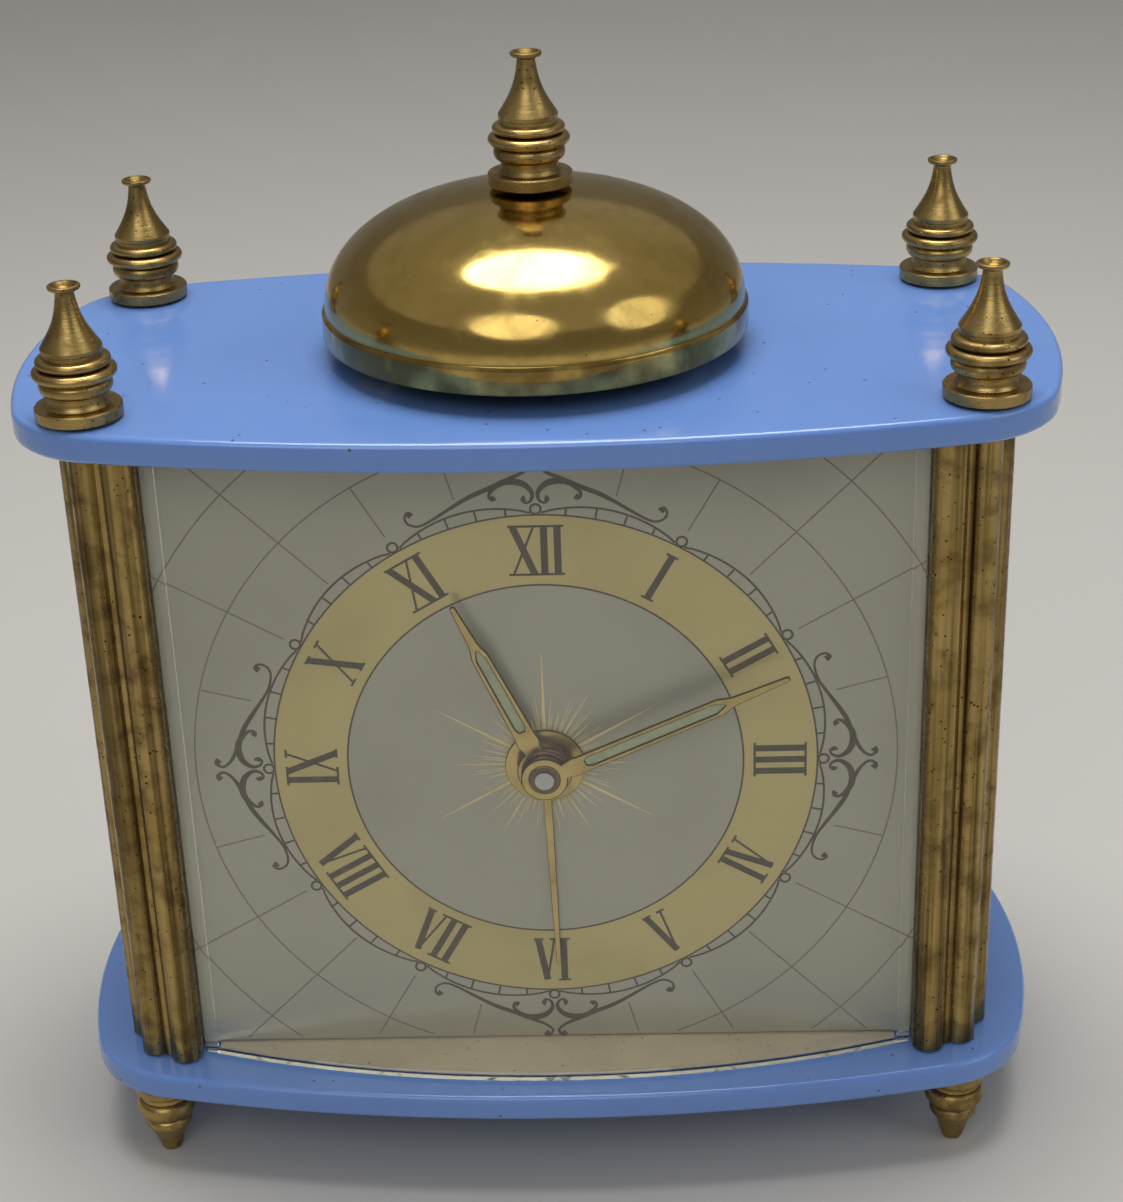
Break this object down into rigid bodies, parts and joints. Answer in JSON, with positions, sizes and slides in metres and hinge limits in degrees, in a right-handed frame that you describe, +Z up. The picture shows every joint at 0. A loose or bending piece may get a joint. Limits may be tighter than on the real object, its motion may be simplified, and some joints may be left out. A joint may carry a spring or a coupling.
{
  "type": "bell alarm clock",
  "caption": "Wind-up alarm clock: shaped plates on turned feet, reeded corner posts, bowed clear lens over a dial with hands, finials and a domed bell with its hammer.",
  "frame": {"origin": "on the surface that the clock stands on, below the middle of its plates", "axes": "+Z up, dial faces -Y, +X to the right of someone looking at the dial"},
  "size_m": [0.1124, 0.0596, 0.1237],
  "materials": {
    "blue_plate": "glossy periwinkle blue plastic with light specks of dirt",
    "post_brass": "aged reeded brass with dark pits",
    "turned_brass": "turned aged brass, dark in the grooves",
    "bell_brass": "polished brass with fine scratches and a tarnished rim band",
    "lens": "clear moulded window",
    "dial": "satin silver-champagne sheet with gold ring and dark print",
    "cream_case": "cream moulded plastic",
    "gilt_hand": "gilt with pale green luminous paint in the slots",
    "key_brass": "worn brass",
    "black_button": "black",
    "movement_brass": "plain clock brass",
    "spring_steel": "blued spring steel",
    "steel": "plain steel"
  },
  "bodies": {
    "clock": {"base_plate": "blue_plate", "top_plate": "blue_plate", "post_front_left": "post_brass", "post_front_right": "post_brass", "post_back_left": "post_brass", "post_back_right": "post_brass", "finial_front_left": "turned_brass", "finial_front_right": "turned_brass", "finial_back_left": "turned_brass", "finial_back_right": "turned_brass", "foot_front_left": "turned_brass", "foot_front_right": "turned_brass", "foot_back_left": "turned_brass", "foot_back_right": "turned_brass", "tie_rod_front_left": "steel", "tie_rod_front_right": "steel", "tie_rod_back_left": "steel", "tie_rod_back_right": "steel", "bell": "bell_brass", "bell_finial": "turned_brass", "bell_stud": "steel", "lens": "lens", "dial": "dial", "case": "cream_case", "rear_cover": "cream_case", "cover_screw_1": "steel", "cover_screw_2": "steel", "cover_screw_3": "steel", "cover_screw_4": "steel", "front_movement_plate": "movement_brass", "back_movement_plate": "movement_brass", "time_mainspring": "spring_steel", "alarm_mainspring": "spring_steel", "hairspring": "spring_steel"},
    "minute_train": {"minute_arbor": "steel", "minute_hand": "gilt_hand", "hand_knob": "key_brass"},
    "hour_train": {"hour_wheel": "movement_brass", "hour_hand": "gilt_hand"},
    "minute_reduction": {"minute_wheel": "movement_brass"},
    "alarm_setting": {"alarm_wheel": "movement_brass", "alarm_hand": "gilt_hand"},
    "alarm_setting_knob": {"alarm_knob": "key_brass"},
    "time_winder": {"time_key": "key_brass"},
    "alarm_winder": {"alarm_key": "key_brass"},
    "time_great": {"time_great_wheel": "movement_brass"},
    "centre": {"centre_wheel": "movement_brass"},
    "third": {"third_wheel": "movement_brass"},
    "fourth": {"fourth_wheel": "movement_brass"},
    "escape": {"escape_wheel": "movement_brass"},
    "pallet": {"pallet_lever": "steel"},
    "balance": {"balance_wheel": "movement_brass"},
    "alarm_great": {"alarm_great_wheel": "movement_brass"},
    "verge": {"verge_wheel": "movement_brass"},
    "striker": {"hammer": "steel"},
    "index": {"regulator": "steel"},
    "stop": {"stop_button": "black_button"}
  },
  "joints": [
    {"name": "minute_turn", "type": "hinge", "parent": "clock", "child": "minute_train", "pos_m": [0, 0, 0.0503], "axis": [0, 1, 0], "continuous": true},
    {"name": "hour_turn", "type": "hinge", "parent": "clock", "child": "hour_train", "pos_m": [0, 0, 0.0503], "axis": [0, 1, 0], "continuous": true},
    {"name": "minute_wheel_turn", "type": "hinge", "parent": "clock", "child": "minute_reduction", "pos_m": [0, 0, 0.0407], "axis": [0, 1, 0], "continuous": true},
    {"name": "alarm_turn", "type": "hinge", "parent": "clock", "child": "alarm_setting", "pos_m": [0, 0, 0.0503], "axis": [0, 1, 0], "continuous": true},
    {"name": "alarm_knob_turn", "type": "hinge", "parent": "clock", "child": "alarm_setting_knob", "pos_m": [0.01527, 0, 0.05586], "axis": [0, 1, 0], "continuous": true},
    {"name": "time_wind", "type": "hinge", "parent": "clock", "child": "time_winder", "pos_m": [-0.01699, 0, 0.03796], "axis": [0, 1, 0], "range_deg": [-1800, 0]},
    {"name": "alarm_wind", "type": "hinge", "parent": "clock", "child": "alarm_winder", "pos_m": [0.01699, 0, 0.03796], "axis": [0, 1, 0], "range_deg": [-1800, 0]},
    {"name": "escape_turn", "type": "hinge", "parent": "clock", "child": "escape", "pos_m": [-0.01099, 0, 0.07811], "axis": [0, 1, 0], "continuous": true},
    {"name": "fourth_turn", "type": "hinge", "parent": "clock", "child": "fourth", "pos_m": [-0.01989, 0, 0.07064], "axis": [0, 1, 0], "continuous": true},
    {"name": "third_turn", "type": "hinge", "parent": "clock", "child": "third", "pos_m": [-0.00795, 0, 0.0643], "axis": [0, 1, 0], "continuous": true},
    {"name": "centre_turn", "type": "hinge", "parent": "clock", "child": "centre", "pos_m": [0, 0, 0.0503], "axis": [0, 1, 0], "continuous": true},
    {"name": "time_great_turn", "type": "hinge", "parent": "clock", "child": "time_great", "pos_m": [-0.01699, 0, 0.03796], "axis": [0, 1, 0], "continuous": true},
    {"name": "balance_swing", "type": "hinge", "parent": "clock", "child": "balance", "pos_m": [0.0075, 0, 0.0678], "axis": [0, 1, 0], "range_deg": [-200, 200]},
    {"name": "lever_rock", "type": "hinge", "parent": "clock", "child": "pallet", "pos_m": [-0.00213, 0, 0.07654], "axis": [0, 1, 0], "range_deg": [-5, 5]},
    {"name": "verge_turn", "type": "hinge", "parent": "clock", "child": "verge", "pos_m": [0.02731, 0, 0.05083], "axis": [0, 1, 0], "continuous": true},
    {"name": "alarm_great_turn", "type": "hinge", "parent": "clock", "child": "alarm_great", "pos_m": [0.01699, 0, 0.03796], "axis": [0, 1, 0], "continuous": true},
    {"name": "hammer_strike", "type": "hinge", "parent": "clock", "child": "striker", "pos_m": [0.0248, 0, 0.05935], "axis": [0, 1, 0], "range_deg": [-3.5, 2]},
    {"name": "regulator_shift", "type": "hinge", "parent": "clock", "child": "index", "pos_m": [0.0075, 0, 0.0678], "axis": [0, 1, 0], "range_deg": [-18, 18]},
    {"name": "stop_push", "type": "slide", "parent": "clock", "child": "stop", "axis": [0, -1, 0], "range_m": [0, 0.0025]}
  ],
  "couplings": [
    {"joint": "hour_turn", "follows": "minute_turn", "ratio": 0.083333},
    {"joint": "minute_wheel_turn", "follows": "minute_turn", "ratio": -0.33333},
    {"joint": "alarm_knob_turn", "follows": "alarm_turn", "ratio": -4},
    {"joint": "fourth_turn", "follows": "escape_turn", "ratio": -0.125},
    {"joint": "third_turn", "follows": "escape_turn", "ratio": 0.016667},
    {"joint": "centre_turn", "follows": "escape_turn", "ratio": -0.0025},
    {"joint": "time_great_turn", "follows": "escape_turn", "ratio": 0.00041667},
    {"joint": "lever_rock", "follows": "balance_swing", "ratio": 0.025},
    {"joint": "alarm_great_turn", "follows": "verge_turn", "ratio": -0.22222}
  ]
}
